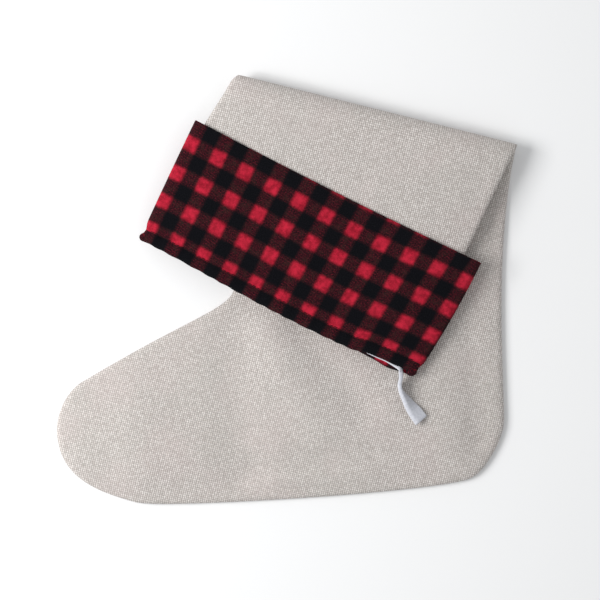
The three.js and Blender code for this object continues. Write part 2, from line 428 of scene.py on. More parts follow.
def tube_faces(rings, around, first=0):
    """Quads round a tube whose points run ring by ring, and a face over each end."""
    faces = []
    for ring in range(rings - 1):
        a = first + ring * around
        b = a + around
        for place in range(around):
            beside = (place + 1) % around
            faces.append((a + place, b + place, b + beside, a + beside))
    last = first + (rings - 1) * around
    faces.append(tuple(range(first, first + around)))
    faces.append(tuple(range(last + around - 1, last - 1, -1)))
    return faces


def inside_out(faces):
    """The same faces, turned to face the other way."""
    return [face[::-1] for face in faces]


def run_along(points):
    """How far along a line of points each of them is."""
    steps = np.linalg.norm(np.diff(points, axis=0), axis=1)
    return np.concatenate([[0], np.cumsum(steps)])


# ---------------------------------------------------------------- linen panels


def fold_round(p, s, z_low, z_high, tip):
    """Carries flat points of the cut round the fold, between their heights below and above it."""
    reach = np.clip((FOLD_ROLL - np.abs(s)) / FOLD_ROLL, 0, 1)
    turn = reach * math.pi / 2
    u = np.where(reach > 0, (FOLD_ROLL - tip) * np.sin(turn) - FOLD_ROLL, -np.abs(s))
    z_end = np.where(s < 0, z_low, z_high)
    z = FOLD_Z + (z_end - FOLD_Z) * np.cos(turn)
    return np.column_stack([to_world(p, u), z])


def cut_length(s, extra):
    """Place along the cut, with the cloth that the roll of the fold takes up."""
    return s + extra * np.clip(s / FOLD_ROLL, -1, 1)


def panel_points(side, p, s, distance):
    """Where the points of a panel's cut lie once it is folded, crowned and drawn in to its seam."""
    plan = to_world(p, -np.abs(s))
    seam = fold_round(p, s, LOWER_SEAM_Z, UPPER_SEAM_Z, SEAM_TIP)
    if side == "front":
        low = LOWER_EDGE_Z + LOWER_CROWN * crown(distance, LOWER_CROWN_REACH)
        low = low + foot_relief(plan) * smoothstep(distance / LOWER_RELIEF_REACH)
        low = soft_limit(low, LOWER_TOP_LIMIT)
        high = np.full(len(p), UPPER_FRONT_Z)
        full = fold_round(p, s, low, high, FRONT_TIP)
    else:
        low = np.full(len(p), LOWER_BACK_Z)
        high = leg_back_height(distance)
        high = high + leg_relief(plan) * smoothstep(distance / UPPER_RELIEF_REACH)
        full = fold_round(p, s, low, high, 0)
    return seam + (full - seam) * rounding(distance)[:, None]


def linen_panel(side):
    """One whole cut of linen, from the toe round the fold to the mouth."""
    p, s = PATTERN[:, 0], PATTERN[:, 1]
    distance = distance_to(PATTERN, SEWN)
    points = panel_points(side, p, s, distance)
    faces = TRIANGLES if side == "front" else inside_out(TRIANGLES)
    extra = FOLD_TAKE_UP if side == "back" else 0
    pattern = np.column_stack([p, cut_length(s, extra)])
    name = f"linen_{side}_panel"
    panel = make_object(name, points, faces, pattern, MATERIALS["linen"])
    thicken(panel, LINEN)
    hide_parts(f"foot_{side}_panel", f"leg_{side}_panel")
    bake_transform(panel)


def seam_allowance(name, node, body, chosen):
    """Two raw-edged plies of linen along part of the sewn edge, inside the bag."""
    line = SEWN[chosen]
    across = np.linspace(ALLOWANCE_FROM, ALLOWANCE_TO, 6)
    seam_z = LOWER_SEAM_Z - 0.3 * MM if body == "foot" else UPPER_SEAM_Z + 0.1 * MM
    points, pattern = [], []
    for lift in (-0.25, 0.25):
        for place, distance in enumerate(across):
            row = inset(line, distance)
            wave = 0.08 * MM * ripple(row, 9, 30 + 80 * lift, place)
            z = np.full(len(row), seam_z + lift * MM * (1 + place / 5)) + wave
            plan = to_world(row[:, 0], -np.abs(row[:, 1]))
            points.append(np.column_stack([plan, z]))
            pattern.append(row)
    count = len(across) * len(line)
    faces = grid_faces(len(across), len(line))
    faces += [tuple(v + count for v in face) for face in inside_out(faces)]
    points, pattern = np.vstack(points), np.vstack(pattern)
    # Its linen is the darker copy of the panels' linen: painted shade inside the bag.
    band = make_object(name, points, faces, pattern, MATERIALS["seam"])
    thicken(band, ALLOWANCE_PLY, 0)
    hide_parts(node)
    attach(band, body)


def side_seams():
    """The three strips of seam allowance, which leave room at the fold and at the cuff's facing."""
    fold_room, mouth_room = 15 * MM, 34 * MM
    s = SEWN[:, 1]
    upper = (s > fold_room) & (s < s.max() - mouth_room)
    index = np.arange(len(SEWN))
    lower = np.flatnonzero(s < -fold_room)
    toe = np.flatnonzero(upper & (index < lower[0]))
    heel = np.flatnonzero(upper & (index > lower[-1]))
    seam_allowance("side_seam_round_foot", "foot_side_seam", "foot", lower)
    seam_allowance("side_seam_toe_side", "leg_toe_side_seam", "folded_leg", toe)
    seam_allowance("side_seam_heel_side", "leg_heel_side_seam", "folded_leg", heel)


# ---------------------------------------------------------------- cuff


def mouth_frame():
    """The middle of the rolled edge, and the directions along the mouth and up the leg."""
    low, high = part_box("mouth_topstitch_back")
    along = np.array([math.cos(MOUTH_TURN), math.sin(MOUTH_TURN)])
    up = np.array([-along[1], along[0]])
    middle = np.array([(low.x + high.x) / 2, (low.y + high.y) / 2])
    return middle - TOPSTITCH_AT * up, along, up


def mouth_to_world(x, y):
    """Places in the plan, from how far they are along the mouth and up the leg."""
    return MOUTH[0] + x[:, None] * MOUTH[1] + y[:, None] * MOUTH[2]


def cuff_half_width(y, heel_side):
    """Half the cuff's width: flared towards the hem, bowed, and drawn in by the stitches."""
    rate = np.where(heel_side, CUFF_FLARE_HEEL, CUFF_FLARE_TOE)
    bow = np.where(heel_side, 1.4 * MM, 0.2 * MM) * np.sin(np.pi * np.clip(y / CUFF_DEPTH, 0, 1))
    waist = 1.3 * MM * np.exp(-(((y - ROLL_HEIGHT + 0.7 * MM) / (3.4 * MM)) ** 2))
    drawn = np.where(heel_side, 1.3 * MM * smoothstep((11 * MM - y) / (4 * MM)), waist)
    corner = 3.2 * MM
    below = np.clip(corner - y, 0, corner)
    rounded = corner - np.sqrt(corner**2 - below**2)
    start = CUFF_HALF - np.where(heel_side, 0, 0.9 * MM)
    return start + rate * np.clip(y, 0, None) + bow - drawn - 0.75 * rounded


def cuff_section():
    """The middle of the cloth across the cuff, from the hem: places (up the leg, above the linen)."""
    marks = [
        (75.5, 0.5), (79.0, 0.5), (82.0, 0.52), (82.7, 0.7), (82.95, 1.0), (82.7, 1.3),
        (82.0, 1.45), (79.0, 1.45), (76.6, 1.35), (75.4, 0.98), (73.8, 0.8), (71.0, 0.75),
    ]
    marks += [(y, 0.75) for y in np.arange(68, 14, -3.0)]
    marks += [
        (11.8, 0.78), (9.9, 0.72), (8.5, 0.44), (7.7, 0.26), (6.9, 0.46), (5.8, 1.1),
        (4.3, 1.46), (2.7, 1.42), (1.1, 0.98), (0.2, 0.2), (0.2, -0.6), (0.9, -1.2),
        (2.2, -1.5), (5.0, -1.5), (9.0, -1.42),
    ]
    marks += [(y, -1.4) for y in np.arange(12, FACING_DEPTH / MM + 1, 4.0)]
    return smooth_run(np.array(marks) * MM, 0.9 * MM)


def edge_columns():
    """Places along the mouth from -1 to 1, closer together at the two sides."""
    near = np.array([0, 0.3, 0.8, 1.5, 2.4, 3.6, 5.2]) * MM / CUFF_HALF
    side = 7 * MM / CUFF_HALF
    middle = np.linspace(-1 + side, 1 - side, 118)
    return np.concatenate([-1 + near, middle, (1 - near)[::-1]])


def cuff_relief(x, y, side):
    """Soft undulation of the flannel, and the puckers that its stitches pull into it."""
    plan = np.column_stack([x, y])
    total = 0.30 * MM * ripple(plan, 64, 18, 0.6) * smoothstep(y / (25 * MM))
    total += 0.20 * MM * ripple(plan, 31, 76, 2.0) * ripple(plan, 47, -12, 1.1)
    total += 0.10 * MM * ripple(plan, 14, 40, 0.3) * ripple(plan, 19, 118, 2.4)
    drift = 1.1 * np.sin(x / (23 * MM)) + 0.7 * np.sin(x / (9.3 * MM) + 1)
    pull = np.sin(x * math.tau / (8.2 * MM) + drift + 1.5 * side)
    reach = np.exp(-(((y - ROLL_HEIGHT) / (6.5 * MM)) ** 2))
    total += 0.42 * MM * pull * reach * (0.6 + 0.4 * np.sin(x / (17 * MM)))
    return total


def mouth_edge(x, side):
    """How far the rolled edge sags past its straight line; the front half shows at the heel side."""
    frill = 0.2 * MM * np.sin(x / (1.9 * MM) + np.sin(x / (7 * MM)))
    wave = 0.30 * MM * np.sin(x / (19 * MM) + 0.5) + frill
    sag = -0.9 * MM - 3.3 * MM * np.exp(-(((x - 18 * MM) / (58 * MM)) ** 2))
    slit = smoothstep((x - 53 * MM) / (16 * MM))
    if side > 0:
        return sag + wave * (1 - 0.6 * slit) + 2.2 * MM * slit
    bulge = np.exp(-(((x - 81 * MM) / (8 * MM)) ** 2))
    return sag + wave * (1 - slit) + 0.8 * MM * (1 - slit) - 1.5 * MM * bulge


def on_cuff(x, y, side):
    """How far up the leg a place on the cuff lies, once the cuff's two long edges have sagged."""
    roll = smoothstep((26 * MM - y) / (26 * MM))
    hem = smoothstep((y - 40 * MM) / (43 * MM))
    hem_bow = 1.3 * MM * ((x - 8 * MM) / (100 * MM)) ** 2 - 0.2 * MM
    return y + mouth_edge(x, side) * roll + hem_bow * hem


def check_place(x, y):
    """Place across the check, which leans a little and spreads with the flare of the cuff."""
    below = CUFF_DEPTH - y
    return (x + CHECK_LEAN * below) * (1 + CHECK_SPREAD * below)


def row_sag(x, y):
    """How far the rows of the check hang below straight lines, away from the stitched edge."""
    middle = np.exp(-(((x - 28 * MM) / (48 * MM)) ** 2))
    return (0.5 * MM + 2.1 * MM * middle) * smoothstep((y - 7 * MM) / (19 * MM))


def cuff_half(name, node, side):
    """Half the cuff: hem, outer layer, rolled edge and facing. side is 1 for the back, -1 for the front."""
    section = cuff_section()
    columns = edge_columns()
    run = run_along(section)
    hem_turn = run[np.argmax(section[:, 0])]
    past_hem = run > hem_turn
    outer = (section[:, 1] > 0) & past_hem
    past_seam = smoothstep((ROLL_HEIGHT + 0.7 * MM - section[:, 0]) / (1.4 * MM))
    run = run + SEAM_TUCK * np.where(outer, past_seam, past_hem)
    outside = smoothstep((section[:, 1] + 0.6 * MM) / (0.8 * MM))
    points, pattern = [], []
    for (up, above), along_cut, share in zip(section, run, outside):
        y = np.full(len(columns), up)
        half = cuff_half_width(y, columns > 0)
        x = columns * half
        distance = half * (1 - np.abs(columns))
        lift = above + cuff_relief(x, y, side) * (0.25 + 0.75 * share)
        if side > 0:
            full = leg_back_height(distance) + lift
        else:
            full = UPPER_FRONT_Z - np.minimum(lift, 1.1 * MM)
        z = UPPER_SEAM_Z + (full - UPPER_SEAM_Z) * rounding(distance, 3.4 * MM)
        points.append(np.column_stack([mouth_to_world(x, on_cuff(x, y, side)), z]))
        down = along_cut - hem_turn - row_sag(x, y)
        pattern.append(np.column_stack([check_place(x, y), down]))
    faces = grid_faces(len(section), len(columns))
    if side < 0:
        faces = inside_out(faces)
    points, pattern = np.vstack(points), np.vstack(pattern)
    cuff = make_object(name, points, faces, pattern, MATERIALS["flannel"])
    thicken(cuff, FLANNEL, 0)
    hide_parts(node)
    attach(cuff, "folded_leg")


# The knobs where the layers bunch at the heel side (True) and the toe side (False): how far each is
# from the middle of the mouth, how far up the leg, and its radius.
KNOBS = {True: (95.9 * MM, 1.5 * MM, 3.5 * MM), False: (97.3 * MM, 1.5 * MM, 2.7 * MM)}


def cuff_side_seam(name, node, heel_side):
    """The ridge where the halves of the cuff join, ending in a knob of bunched layers."""
    sign = 1 if heel_side else -1
    centre, middle, size = KNOBS[heel_side]
    turn = np.linspace(-math.pi / 2 + 0.12, math.pi / 2 - 0.3, 22)
    straight = np.linspace(middle + size * 1.05, 82 * MM, 50)
    y = np.concatenate([middle + size * np.sin(turn), straight])
    knob = np.sqrt(np.clip(size**2 - (y - middle) ** 2, 0, None))
    ridge = 0.75 * MM
    share = smoothstep((knob - ridge) / (1.2 * MM)) * (y < middle + size)
    share = np.where(y < middle, 1, share)
    radius = np.where(y < middle, knob, np.maximum(knob, ridge))
    half = cuff_half_width(y, np.full(len(y), heel_side))
    out = (half - 0.4 * MM) * (1 - share) + centre * share
    height = UPPER_SEAM_Z + 1.1 * MM * share
    around = np.linspace(0, math.tau, 24, endpoint=False)
    points, pattern = [], []
    for place in range(len(y)):
        gathers = 0.035 * np.sin(8 * around + 9 * place / len(y))
        fold = 1 + share[place] * (0.06 * np.sin(3 * around + 1) + gathers)
        x = sign * (out[place] + radius[place] * fold * np.cos(around))
        z = height[place] + radius[place] * fold * np.sin(around)
        plan = mouth_to_world(x, np.full(len(x), y[place]))
        points.append(np.column_stack([plan, z]))
        girth = sign * (out[place] + 4 * MM) + around * radius[place]
        pattern.append(np.column_stack([girth, np.full(len(x), CUFF_DEPTH - y[place])]))
    faces = tube_faces(len(y), len(around))
    if heel_side:
        faces = inside_out(faces)
    points, pattern = np.vstack(points), np.vstack(pattern)
    seam = make_object(name, points, faces, pattern, MATERIALS["flannel"])
    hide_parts(node)
    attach(seam, "folded_leg")


def stitch_rows_and_groove_shade(name, node, side):
    """A row of separate stitches sunk into the cuff, just inside the rolled edge: real topstitching, whose
    long, close, near-black dashes also paint the groove's shade as a dark line.
    """
    # Painted shade: the dashes are long and close so that they read as the dark line of the groove's shade.
    pitch, length, radius = 3.1 * MM, 2.7 * MM, 0.22 * MM
    starts = np.arange(-CUFF_HALF + 5 * MM, CUFF_HALF - 8 * MM, pitch)
    around = np.linspace(0, math.tau, 6, endpoint=False)
    along = np.linspace(0, 1, 7)
    points, faces = [], []
    for start in starts:
        x = start + along * length
        y = np.full(len(x), ROLL_HEIGHT)
        distance = cuff_half_width(y, x > 0) - np.abs(x)
        sunk = 0.66 * MM + 0.16 * MM * np.sin(math.pi * along) + cuff_relief(x, y, side)
        if side > 0:
            z = leg_back_height(distance) + sunk
        else:
            z = UPPER_FRONT_Z - np.minimum(sunk, 1.30 * MM)
        size = radius * (0.35 + 0.65 * np.sqrt(np.sin(math.pi * np.clip(along, 0.02, 0.98))))
        centre = mouth_to_world(x, on_cuff(x, y, side))
        faces += inside_out(tube_faces(len(x), len(around), len(points) * len(around)))
        for place in range(len(x)):
            sideways = centre[place] + np.outer(np.cos(around) * size[place], MOUTH[2])
            points.append(np.column_stack([sideways, z[place] + np.sin(around) * size[place]]))
    points = np.vstack(points)
    row = make_object(name, points, faces, points[:, :2], MATERIALS["thread"])
    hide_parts(node)
    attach(row, "folded_leg")


# ---------------------------------------------------------------- ribbon loop


def unit(vectors):
    """Vectors scaled to a length of 1."""
    vectors = np.asarray(vectors, float)
    return vectors / np.linalg.norm(vectors, axis=-1, keepdims=True)


def station(place, ways, gather):
    """One place along the ribbon, with its two arrows and its gather, all as lengths."""
    arrows = [ARROW * unit(way) for way in ways]
    return np.concatenate([place, *arrows, [gather * ARROW]])


def ribbon_stations():
    """Stations along the ribbon's lengthwise crease.

    Each gives a place in millimetres, the ways in which the narrow and the wide part point, and how
    far the wide part is folded back on itself, from 0 to 1. In the mouth they are in the axes of the
    mouth, and outside it they are plan directions from a corner of the CAD's ribbon.
    """
    in_mouth = [
        ((56, 2.3, 15.5), (0, -1, 0), (0, 1, 0), 0),
        ((64, 1.2, 15.5), (0, -1, 0), (0, 1, 0), 0),
        ((72, 1.3, 15.6), (0, -1, 0.05), (0, 1, 0), 0),
        ((79, 1.6, 15.9), (0, -1, 0.15), (0, 1, 0), 0.6),
        ((85, 1.0, 16.6), (0, -1, 0.5), (0, 1, -0.15), 1),
        ((89.4, -0.5, 18.9), (-0.15, -0.6, 0.7), (0.1, 0.3, -1), 1),
        ((91.2, -2.1, 19.1), (-0.7, -0.4, 0.2), (0, -0.1, -1), 1),
    ]
    low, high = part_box("hanging_loop")
    corner = np.array([low.x, high.y])
    hanging = [
        ((3.3, -1.8, 18.8), (-0.85, -0.05, -0.05), (-0.1, 0, -1), 0.5),
        ((2.6, -6.1, 18.1), (-0.85, 0.02, -0.25), (-0.1, 0, -1), 0),
        ((3.2, -10.2, 17.8), (-0.9, -0.1, -0.38), (0.08, 0.04, -1), 0),
        ((4.9, -14.6, 17.3), (-0.9, -0.2, -0.42), (0.36, 0.1, -0.90), 0),
        ((7.2, -20.4, 16.3), (-0.82, -0.42, -0.42), (0.60, 0.28, -0.70), 0),
        ((9.4, -24.5, 15.4), (-0.76, -0.55, -0.40), (0.72, 0.50, -0.50), 0),
        ((13.7, -30.6, 14.3), (-0.72, -0.62, -0.34), (0.74, 0.63, -0.38), 0),
    ]
    stations = []
    for (x, y, z), *ways, gather in in_mouth:
        plan = mouth_to_world(np.array([x * MM]), np.array([y * MM]))[0]
        turned = [[*(a * MOUTH[1] + b * MOUTH[2]), c] for a, b, c in ways]
        stations.append(station([*plan, z * MM], turned, gather))
    for (x, y, z), *ways, gather in hanging:
        plan = corner + np.array([x, y]) * MM
        stations.append(station([*plan, z * MM], ways, gather))
    return np.array(stations)


def soft_side(x):
    """x where it is positive and nearly 0 where it is negative, rounded at the crease."""
    return (x + np.sqrt(x**2 + (0.55 * MM) ** 2)) / 2


def folded_back(across, gather):
    """Places on the wide part of the ribbon: how far from the crease, and how far beside it."""
    past = across - GATHER_FOLD
    away = soft_side(across) - 2 * gather * soft_side(past)
    beside = gather * 1.3 * MM * smoothstep((past + 0.8 * MM) / (1.6 * MM))
    return away, beside


def ribbon_rows(fine, across, middle):
    """Rows of points out along the upper ply, round the loop's far end and back along the lower ply."""
    centre, narrow, wide = fine[:, :3], unit(fine[:, 3:6]), unit(fine[:, 6:9])
    gather = np.clip(fine[:, 9] / ARROW, 0, 1)
    along = unit(np.gradient(centre, axis=0))
    beside = unit(np.cross(wide, along))
    gap = 0.30 * MM + 0.15 * MM * np.cos((across - middle) / RIBBON_WIDTH * math.pi)
    upper, lower = [], []
    for i in range(len(centre)):
        away, offset = folded_back(across, gather[i])
        line = centre[i] + np.outer(soft_side(-across), narrow[i])
        line = line + np.outer(away, wide[i]) + np.outer(offset, beside[i])
        normal = unit(np.cross(np.gradient(line, axis=0), along[i]))
        upper.append(line + normal * gap[:, None])
        lower.append(line - normal * gap[:, None])
    bend = (upper[-1] + lower[-1]) / 2 + along[-1] * 0.45 * MM
    return upper + [bend] + lower[::-1]


def hanging_ribbon():
    """The loop: one ribbon laid double, out to its far end and back, with a soft lengthwise crease."""
    fine = smooth_run(ribbon_stations(), 1.0 * MM)
    across = np.linspace(-RIBBON_NARROW, RIBBON_WIDTH - RIBBON_NARROW, 15)
    middle = RIBBON_WIDTH / 2 - RIBBON_NARROW
    rows = ribbon_rows(fine, across, middle)
    run = run_along(fine[:, :3])
    lengths = [*run, run[-1] + 0.4 * MM, *(2 * run[-1] - run[::-1])]
    pattern = [np.column_stack([across - middle, np.full(len(across), length)]) for length in lengths]
    faces = grid_faces(len(rows), len(across))
    points, pattern = np.vstack(rows), np.vstack(pattern)
    ribbon = make_object("hanging_ribbon", points, faces, pattern, MATERIALS["ribbon"])
    thicken(ribbon, RIBBON_PLY, 0)
    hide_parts("loop_sewn_end", "hanging_loop")
    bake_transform(ribbon)


def bar_tack():
    """The zigzag of thread that holds the ribbon's ends to the facing."""
    low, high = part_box("loop_bar_tack")
    middle = (low + high) / 2
    curve = bpy.data.curves.new("loop_bar_tack_stitches", "CURVE")
    curve.dimensions = "3D"
    curve.bevel_depth = 0.22 * MM
    curve.bevel_resolution = 2
    spline = curve.splines.new("POLY")
    steps = 52
    length, reach = 6 * MM, 2.6 * MM
    spline.points.add(steps)
    for i in range(steps + 1):
        x = (i / steps - 0.5) * length
        y = reach * math.sin(i * math.pi / 2 * 1.02)
        plan = np.array([middle.x, middle.y]) + x * MOUTH[1] + y * MOUTH[2]
        z = high.z - 0.25 * MM + 0.12 * MM * math.cos(i * math.pi)
        spline.points[i].co = (*plan, z, 1)
    tack = bpy.data.objects.new("loop_bar_tack_stitches", curve)
    bpy.context.scene.collection.objects.link(tack)
    curve.materials.append(MATERIALS["thread"])
    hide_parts("loop_bar_tack")
    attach(tack, "folded_leg")


# ---------------------------------------------------------------- materials


class Nodes:
    """Short calls for building a material's nodes."""

    def __init__(self, name):
        self.material = bpy.data.materials.new(name)
        self.material.use_nodes = True
        self.tree = self.material.node_tree
        self.shader = self.tree.nodes["Principled BSDF"]

    def link(self, value, socket):
        """Feeds a socket from another node, or sets it to a plain value."""
        if isinstance(value, bpy.types.NodeSocket):
            self.tree.links.new(value, socket)
        else:
            socket.default_value = value

    def math(self, operation, a, b=0.0, c=0.0):
        """One step of arithmetic; MULTIPLY_ADD is a * b + c."""
        node = self.tree.nodes.new("ShaderNodeMath")
        node.operation = operation
        for socket, value in zip(node.inputs, (a, b, c)):
            self.link(value, socket)
        return node.outputs[0]

    def cut(self):
        """The two places along the cloth's flat cut, in metres."""
        uv = self.tree.nodes.new("ShaderNodeUVMap")
        uv.uv_map = "cut"
        split = self.tree.nodes.new("ShaderNodeSeparateXYZ")
        self.link(uv.outputs[0], split.inputs[0])
        return split.outputs[0], split.outputs[1]

    def vector(self, x, y):
        node = self.tree.nodes.new("ShaderNodeCombineXYZ")
        self.link(x, node.inputs["X"])
        self.link(y, node.inputs["Y"])
        return node.outputs[0]

    def noise(self, vector, scale, detail=2.0, rough=0.5):
        node = self.tree.nodes.new("ShaderNodeTexNoise")
        self.link(vector, node.inputs["Vector"])
        node.inputs["Scale"].default_value = scale
        node.inputs["Detail"].default_value = detail
        node.inputs["Roughness"].default_value = rough
        return node.outputs[0]

    def ramp(self, value, low, high):
        """0 below low and 1 above high, with a smooth step between."""
        node = self.tree.nodes.new("ShaderNodeMapRange")
        node.interpolation_type = "SMOOTHSTEP"
        self.link(value, node.inputs[0])
        node.inputs[1].default_value = low
        node.inputs[2].default_value = high
        return node.outputs[0]

    def mix(self, share, a, b):
        """The colour a where the share is 0, and b where it is 1."""
        node = self.tree.nodes.new("ShaderNodeMix")
        node.data_type = "RGBA"
        colour_a, colour_b, colour = node.inputs[6], node.inputs[7], node.outputs[2]
        self.link(share, node.inputs[0])
        self.link(a, colour_a)
        self.link(b, colour_b)
        return colour

    def bump(self, height, distance, strength):
        node = self.tree.nodes.new("ShaderNodeBump")
        self.link(height, node.inputs["Height"])
        node.inputs["Distance"].default_value = distance
        node.inputs["Strength"].default_value = strength
        self.link(node.outputs[0], self.shader.inputs["Normal"])


def weave(nodes, x, y, pitch, unevenness):
    """A plain weave with uneven threads: its height, and each way its threads' bulk and own tones."""
    beside_x = nodes.vector(x, nodes.math("MULTIPLY", y, 0.3))
    beside_y = nodes.vector(nodes.math("MULTIPLY", x, 0.3), y)
    drift_x = nodes.math("SUBTRACT", nodes.noise(beside_x, 420), 0.5)
    drift_y = nodes.math("SUBTRACT", nodes.noise(beside_y, 390), 0.5)
    across = nodes.math("MULTIPLY_ADD", drift_x, unevenness, nodes.math("DIVIDE", x, pitch))
    down = nodes.math("MULTIPLY_ADD", drift_y, unevenness, nodes.math("DIVIDE", y, pitch))
    wave_x = nodes.math("SINE", nodes.math("MULTIPLY", across, math.pi))
    wave_y = nodes.math("SINE", nodes.math("MULTIPLY", down, math.pi))
    over = nodes.math("MULTIPLY", wave_x, wave_y)
    bulk_x = nodes.math("ABSOLUTE", wave_x)
    bulk_y = nodes.math("ABSOLUTE", wave_y)
    warp = nodes.math("MULTIPLY", bulk_x, nodes.math("MULTIPLY_ADD", over, 0.5, 0.5))
    weft = nodes.math("MULTIPLY", bulk_y, nodes.math("MULTIPLY_ADD", over, -0.5, 0.5))
    height = nodes.math("MAXIMUM", warp, weft)
    # Each thread's number, times an odd factor, picks its own track of the noise for its tone.
    own_x = nodes.math("MULTIPLY", nodes.math("FLOOR", across), 7.31)
    own_y = nodes.math("MULTIPLY", nodes.math("FLOOR", down), 5.17)
    thread_x = nodes.noise(nodes.vector(own_x, nodes.math("MULTIPLY", y, 620)), 1.0, 1)
    thread_y = nodes.noise(nodes.vector(nodes.math("MULTIPLY", x, 620), own_y), 1.0, 1)
    return height, bulk_x, bulk_y, thread_x, thread_y


# Faint patches on the linen: the noise's scale, detail and roughness, the levels between which a
# patch comes up, how strong it is, and its colour.
LINEN_PATCHES = [
    (480, 3, 0.65, 0.35, 0.68, 0.10, (0.66, 0.50, 0.47, 1)),
    (17, 2, 0.50, 0.30, 0.75, 0.13, (0.50, 0.51, 0.46, 1)),
    (26, 2, 0.50, 0.42, 0.72, 0.16, (0.66, 0.53, 0.52, 1)),
]


def linen_material(name, light, dark, gap):
    """Natural linen: coarse uneven threads with painted shade in the gaps between them, short slubs and
    faint patches.
    """
    nodes = Nodes(name)
    x, y = nodes.cut()
    here = nodes.vector(x, y)
    height, bulk_x, bulk_y, thread_x, thread_y = weave(nodes, x, y, 1.32 * MM, 0.5)
    threads = nodes.math("MULTIPLY_ADD", thread_x, 1.15, nodes.math("MULTIPLY", thread_y, 0.85))
    slub = nodes.ramp(threads, 0.72, 1.28)
    colour = nodes.mix(slub, dark, light)
    # Painted shade: the colour darkens towards the gap tone between the threads, more in some patches than
    # in others.
    gap_shade_x = nodes.math("SUBTRACT", 1.0, nodes.ramp(bulk_x, 0.05, 0.85))
    gap_shade_y = nodes.math("SUBTRACT", 1.0, nodes.ramp(bulk_y, 0.05, 0.70))
    painted_gap_shade = nodes.math("MULTIPLY_ADD", gap_shade_x, 1.05, nodes.math("MULTIPLY", gap_shade_y, 0.82))
    patchy = nodes.ramp(nodes.noise(here, 620, 2, 0.6), 0.25, 0.7)
    share = nodes.math("MULTIPLY", painted_gap_shade, nodes.math("MULTIPLY_ADD", patchy, 0.72, 0.50))
    colour = nodes.mix(nodes.math("MINIMUM", share, 0.9), colour, gap)
    for scale, detail, rough, low, high, strength, tone in LINEN_PATCHES:
        spread = nodes.ramp(nodes.noise(here, scale, detail, rough), low, high)
        colour = nodes.mix(nodes.math("MULTIPLY", spread, strength), colour, tone)
    nodes.link(colour, nodes.shader.inputs["Base Color"])
    fibre = nodes.noise(here, 2600, 2, 0.6)
    raised = nodes.math("MULTIPLY_ADD", fibre, 0.22, height)
    nodes.bump(raised, 0.34 * MM, 0.9)
    nodes.link(nodes.math("MULTIPLY_ADD", slub, -0.06, 0.93), nodes.shader.inputs["Roughness"])
    nodes.shader.inputs["Specular IOR Level"].default_value = 0.25
    nodes.shader.inputs["Sheen Weight"].default_value = 0.10
    return nodes.material


def stripes(nodes, place, centre, soft):
    """1 in the red stripes of the check and 0 in the black ones, for one direction."""
    turn = nodes.math("DIVIDE", nodes.math("SUBTRACT", place, centre), CHECK)
    wave = nodes.math("COSINE", nodes.math("MULTIPLY", turn, math.tau))
    return nodes.ramp(wave, RED_LEVEL - soft, RED_LEVEL + soft)


def flannel_material():
    """Brushed flannel in a red and black check, with flecks of twill where the two colours cross."""
    nodes = Nodes("check_flannel")
    x, y = nodes.cut()
    here = nodes.vector(x, y)
    fuzz = nodes.math("SUBTRACT", nodes.noise(here, 900, 3, 0.7), 0.5)
    wobble = nodes.math("SUBTRACT", nodes.noise(here, 70, 2, 0.5), 0.5)
    shift = nodes.math("MULTIPLY_ADD", fuzz, 2.2 * MM, nodes.math("MULTIPLY", wobble, 1.4 * MM))
    soft = 0.48
    red_x = stripes(nodes, nodes.math("ADD", x, shift), CHECK_RED_COLUMN, soft)
    red_y = stripes(nodes, nodes.math("ADD", y, shift), CHECK_RED_ROW, soft)
    twill_pitch = 1.25 * MM
    lines = nodes.math("SINE", nodes.math("MULTIPLY", nodes.math("ADD", x, y), math.tau / twill_pitch))
    fleck = nodes.noise(here, 1100, 2, 0.6)
    twill = nodes.ramp(nodes.math("MULTIPLY_ADD", fleck, 2.6, nodes.math("MULTIPLY", lines, 0.5)), 1.2, 2.3)
    both = nodes.math("MULTIPLY", red_x, red_y)
    either = nodes.math("SUBTRACT", nodes.math("MAXIMUM", red_x, red_y), both)
    tone = nodes.noise(here, 1500, 3, 0.7)
    patch = nodes.noise(here, 120, 2, 0.5)
    worn = nodes.noise(here, 250, 2, 0.6)
    uneven = nodes.math("MULTIPLY_ADD", worn, 0.6, nodes.math("MULTIPLY", tone, 0.4))
    red = nodes.mix(nodes.ramp(uneven, 0.36, 0.64), (0.25, 0.008, 0.019, 1), (0.54, 0.019, 0.045, 1))
    lighter = nodes.math("MULTIPLY", nodes.ramp(patch, 0.35, 0.7), 0.25)
    red = nodes.mix(lighter, red, (0.54, 0.026, 0.050, 1))
    black = nodes.mix(nodes.ramp(tone, 0.35, 0.75), (0.0020, 0.0024, 0.0036, 1), (0.008, 0.0075, 0.010, 1))
    maroon = nodes.mix(twill, (0.010, 0.0040, 0.0058, 1), (0.150, 0.015, 0.025, 1))
    faded = nodes.math("MULTIPLY", nodes.ramp(worn, 0.45, 0.65), 0.45)
    maroon = nodes.mix(faded, maroon, (0.034, 0.016, 0.014, 1))
    colour = nodes.mix(either, black, maroon)
    colour = nodes.mix(both, colour, red)
    nodes.link(colour, nodes.shader.inputs["Base Color"])
    nap = nodes.noise(here, 1900, 4, 0.7)
    ribs = nodes.math("MULTIPLY_ADD", lines, 0.08, nap)
    nodes.bump(ribs, 0.35 * MM, 0.7)
    nodes.shader.inputs["Roughness"].default_value = 0.97
    nodes.shader.inputs["Specular IOR Level"].default_value = 0.06
    nodes.shader.inputs["Sheen Weight"].default_value = 0.025
    nodes.shader.inputs["Sheen Roughness"].default_value = 0.5
    return nodes.material


